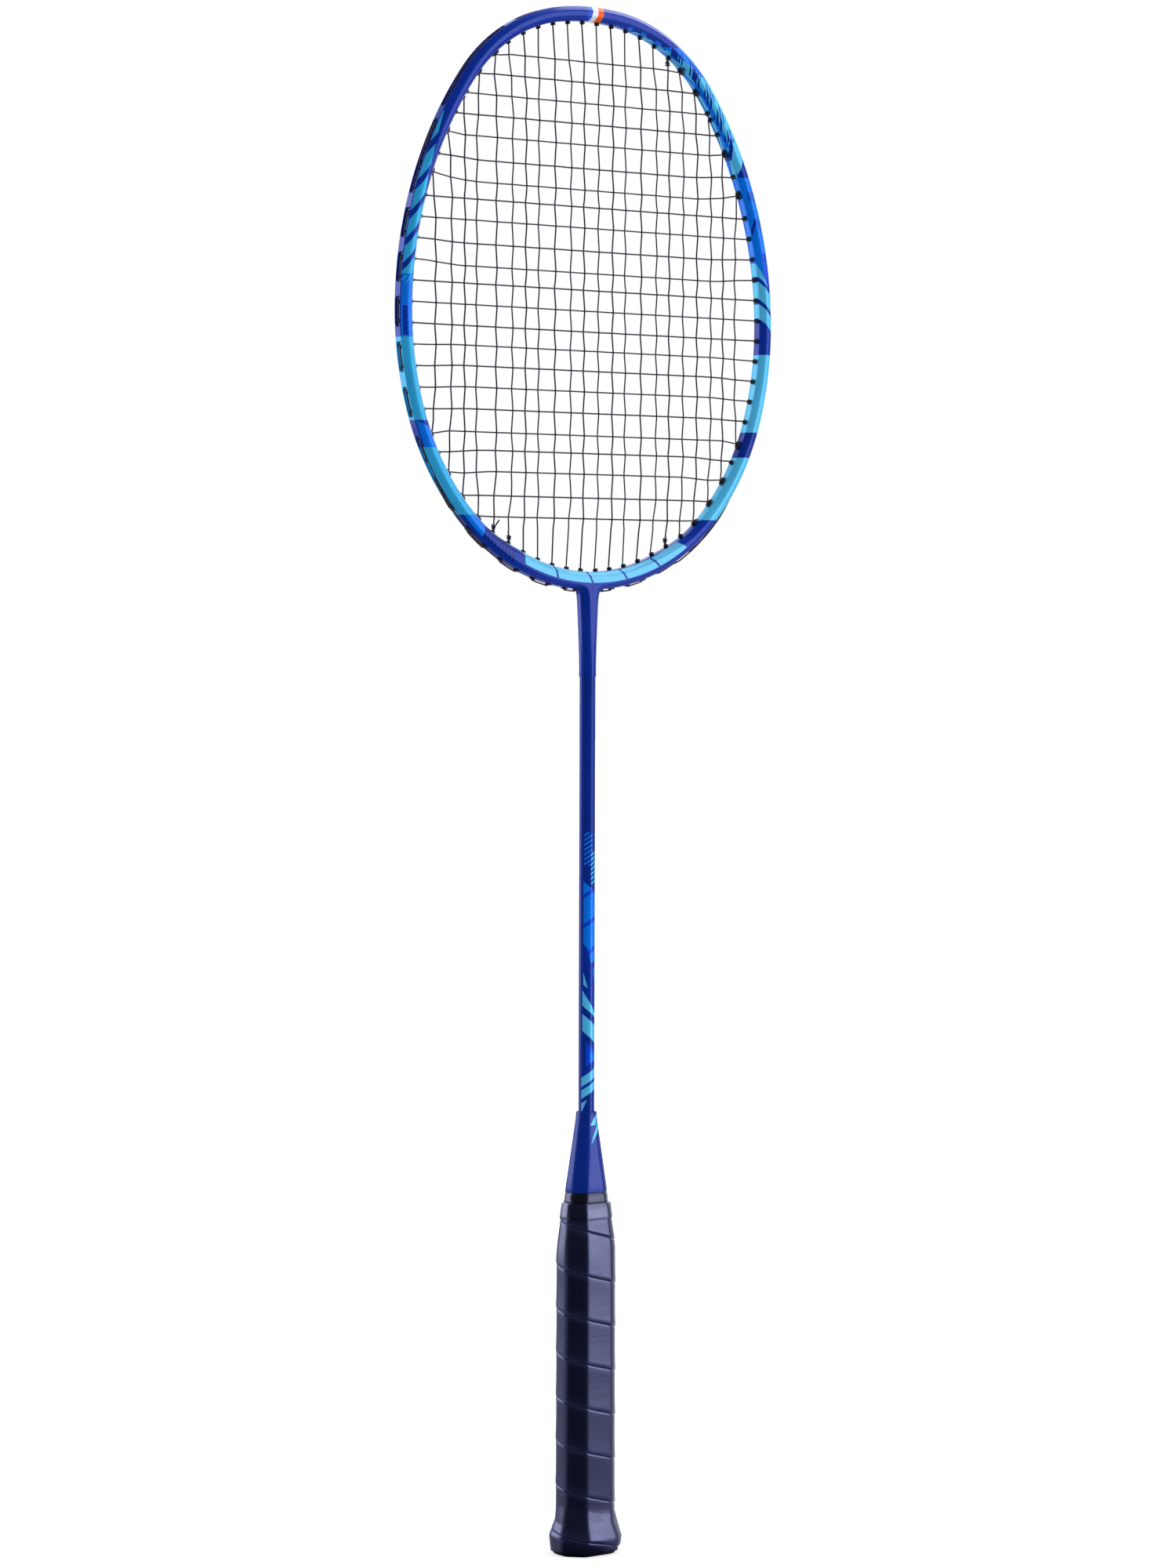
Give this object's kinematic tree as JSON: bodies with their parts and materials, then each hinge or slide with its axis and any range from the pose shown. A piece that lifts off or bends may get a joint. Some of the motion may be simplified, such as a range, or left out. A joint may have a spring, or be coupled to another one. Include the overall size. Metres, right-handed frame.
{
  "type": "badminton racket",
  "caption": "Full-length badminton racket with an oval strung head, slim round shaft, flared cone and taped octagonal handle.",
  "frame": {"origin": "on the racket's long axis, at the bottom of the butt end", "axes": "+Z along the shaft from butt to tip, +X across the head, -Y towards the front face"},
  "size_m": [0.203, 0.0262, 0.675],
  "materials": {
    "hoop_lacquer": "gloss clear coat over blue paint on carbon composite",
    "throat_lacquer": "gloss clear coat over blue paint",
    "shaft_lacquer": "gloss clear coat over dark blue paint",
    "pin_alloy": "bare",
    "cone_plastic": "satin blue with a fine texture",
    "band_plastic": "matte black",
    "core_wood": "bare sanded wood",
    "cap_plastic": "moulded black",
    "nail_steel": "plain",
    "grip_tape": "soft matte dark slate",
    "finish_tape": "shiny black adhesive tape",
    "string": "dark coated nylon",
    "grommet_plastic": "black nylon"
  },
  "bodies": {
    "root": {"frame_hoop": "hoop_lacquer", "throat_joint": "throat_lacquer", "throat_pin": "pin_alloy", "shaft": "shaft_lacquer", "cone_cap": "cone_plastic", "base_band": "band_plastic", "handle_core": "core_wood", "butt_cap": "cap_plastic", "cap_nail_left": "nail_steel", "cap_nail_right": "nail_steel", "grip_wrap": "grip_tape", "finishing_tape": "finish_tape", "main_string": "string", "cross_string": "string", "string_knots": "string", "main_grommets_top": "grommet_plastic", "main_grommets_bottom": "grommet_plastic", "cross_grommets_left": "grommet_plastic", "cross_grommets_right": "grommet_plastic"}
  },
  "joints": []
}
